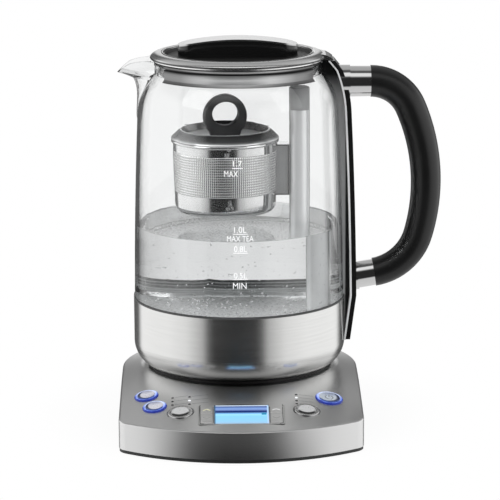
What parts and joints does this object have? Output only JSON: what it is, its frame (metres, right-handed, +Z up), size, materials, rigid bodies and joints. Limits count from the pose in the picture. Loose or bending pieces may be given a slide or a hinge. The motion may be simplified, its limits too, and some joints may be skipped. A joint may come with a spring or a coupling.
{
  "type": "automatic tea maker",
  "caption": "Glass electric kettle with a motor-driven infuser basket on a lift post, lift-off lid and loop handle, standing on a sloped control base with display and buttons.",
  "frame": {"origin": "on the kettle's vertical axis, in the plane the feet stand on", "axes": "+Z up along the kettle axis, +X towards the handle, -Y towards the control panel"},
  "size_m": [0.2243, 0.2171, 0.2666],
  "materials": {
    "base_steel": "satin brushed stainless steel",
    "band_steel": "fine brushed stainless steel",
    "polished_steel": "polished stainless steel",
    "screw_steel": "zinc plated steel",
    "black_plastic": "moulded black plastic",
    "black_gloss": "high gloss black plastic",
    "grip_black": "satin black moulded grip",
    "grey_plastic": "grey moulded plastic",
    "silver_plastic": "silver lacquered",
    "seal_black": "black silicone",
    "foot_rubber": "soft black rubber",
    "light_blue_glow": "translucent light pipe, lit blue",
    "lamp_clear": "clear lamp lens",
    "display_lit": "backlit display window",
    "display_body": "display housing",
    "circuit_green": "circuit board",
    "switch_black": "switch body",
    "contact_brass": "plated contact",
    "jug_glass": "clear borosilicate glass",
    "spreader_aluminium": "pressed aluminium",
    "element_steel": "tubular heater",
    "motor_steel": "motor can",
    "magnet_black": "coated magnet nut"
  },
  "bodies": {
    "base": {"base_cover": "base_steel", "base_plate": "black_plastic", "base_feet": "foot_rubber", "base_screws": "screw_steel", "cable_gland": "black_plastic", "control_board": "circuit_green", "tact_switches": "switch_black", "power_board": "circuit_green", "button_light_rings": "light_blue_glow", "button_bezels": "polished_steel", "display_frame": "black_plastic", "display_window": "display_lit", "display_module": "display_body", "indicator_lamps": "lamp_clear", "base_connector": "black_plastic", "connector_contacts": "contact_brass"},
    "kettle": {"glass_jug": "jug_glass", "steel_band": "band_steel", "jug_seal": "seal_black", "jug_floor": "polished_steel", "heat_spreader": "spreader_aluminium", "heating_element": "element_steel", "temperature_sensor": "polished_steel", "kettle_connector": "black_plastic", "kettle_bottom": "black_plastic", "neck_collar": "polished_steel", "handle_backbone": "black_gloss", "handle_trim": "polished_steel", "handle_rib": "black_gloss", "handle_ferrules": "polished_steel", "handle_grip": "grip_black", "handle_core": "screw_steel", "lift_post": "polished_steel", "post_cap": "grey_plastic", "screw_bush": "grey_plastic", "drive_motor": "motor_steel"},
    "lid": {"lid_ring": "band_steel", "lid_tab": "band_steel", "lid_dish": "black_gloss", "lid_bar": "black_gloss", "lid_bar_plate": "band_steel", "lid_plug": "black_plastic", "lid_seal": "seal_black"},
    "basket": {"basket_cup": "polished_steel", "basket_strap": "polished_steel", "magnet_block": "grey_plastic", "magnet_nut": "magnet_black"},
    "basket_lid": {"basket_lid": "polished_steel", "finger_ring": "black_plastic"},
    "screw": {"lead_screw": "screw_steel"},
    "keep_warm_button": {"keep_warm_button": "silver_plastic"},
    "timer_button": {"timer_button": "silver_plastic"},
    "program_button": {"program_button": "polished_steel"},
    "strength_button": {"strength_button": "polished_steel"},
    "power_button": {"power_button": "silver_plastic"},
    "temperature_up_key": {"temperature_up_key": "silver_plastic"},
    "temperature_down_key": {"temperature_down_key": "silver_plastic"},
    "time_up_key": {"time_up_key": "silver_plastic"},
    "time_down_key": {"time_down_key": "silver_plastic"}
  },
  "joints": [
    {"name": "kettle_lift", "type": "slide", "parent": "base", "child": "kettle", "axis": [0, 0, 1], "range_m": [0, 0.12]},
    {"name": "lid_lift", "type": "slide", "parent": "kettle", "child": "lid", "axis": [0, 0, 1], "range_m": [0, 0.06]},
    {"name": "basket_travel", "type": "slide", "parent": "kettle", "child": "basket", "axis": [0, 0, 1], "range_m": [-0.066, 0]},
    {"name": "screw_spin", "type": "hinge", "parent": "kettle", "child": "screw", "pos_m": [0.0426, 0, 0.1], "axis": [0, 0, 1], "range_deg": [-1440, 0]},
    {"name": "basket_lid_lift", "type": "slide", "parent": "basket", "child": "basket_lid", "axis": [0, 0, 1], "range_m": [0, 0.0115]},
    {"name": "keep_warm_press", "type": "slide", "parent": "base", "child": "keep_warm_button", "axis": [0.1457, 0.16, -0.9763], "range_m": [0, 0.001], "stiffness_N_per_m": 400},
    {"name": "timer_press", "type": "slide", "parent": "base", "child": "timer_button", "axis": [0.1184, 0.1812, -0.9763], "range_m": [0, 0.001], "stiffness_N_per_m": 400},
    {"name": "program_press", "type": "slide", "parent": "base", "child": "program_button", "axis": [0.081, 0.2007, -0.9763], "range_m": [0, 0.001], "stiffness_N_per_m": 400},
    {"name": "strength_press", "type": "slide", "parent": "base", "child": "strength_button", "axis": [-0.0874, 0.198, -0.9763], "range_m": [0, 0.001], "stiffness_N_per_m": 400},
    {"name": "power_press", "type": "slide", "parent": "base", "child": "power_button", "axis": [-0.1316, 0.1718, -0.9763], "range_m": [0, 0.001], "stiffness_N_per_m": 400},
    {"name": "temperature_up_press", "type": "slide", "parent": "base", "child": "temperature_up_key", "axis": [0, 0.2164, -0.9763], "range_m": [0, 0.001], "stiffness_N_per_m": 400},
    {"name": "temperature_down_press", "type": "slide", "parent": "base", "child": "temperature_down_key", "axis": [0, 0.2164, -0.9763], "range_m": [0, 0.001], "stiffness_N_per_m": 400},
    {"name": "time_up_press", "type": "slide", "parent": "base", "child": "time_up_key", "axis": [0, 0.2164, -0.9763], "range_m": [0, 0.001], "stiffness_N_per_m": 400},
    {"name": "time_down_press", "type": "slide", "parent": "base", "child": "time_down_key", "axis": [0, 0.2164, -0.9763], "range_m": [0, 0.001], "stiffness_N_per_m": 400}
  ],
  "couplings": [
    {"joint": "screw_spin", "follows": "basket_travel", "rad_per_m": 380.8}
  ]
}
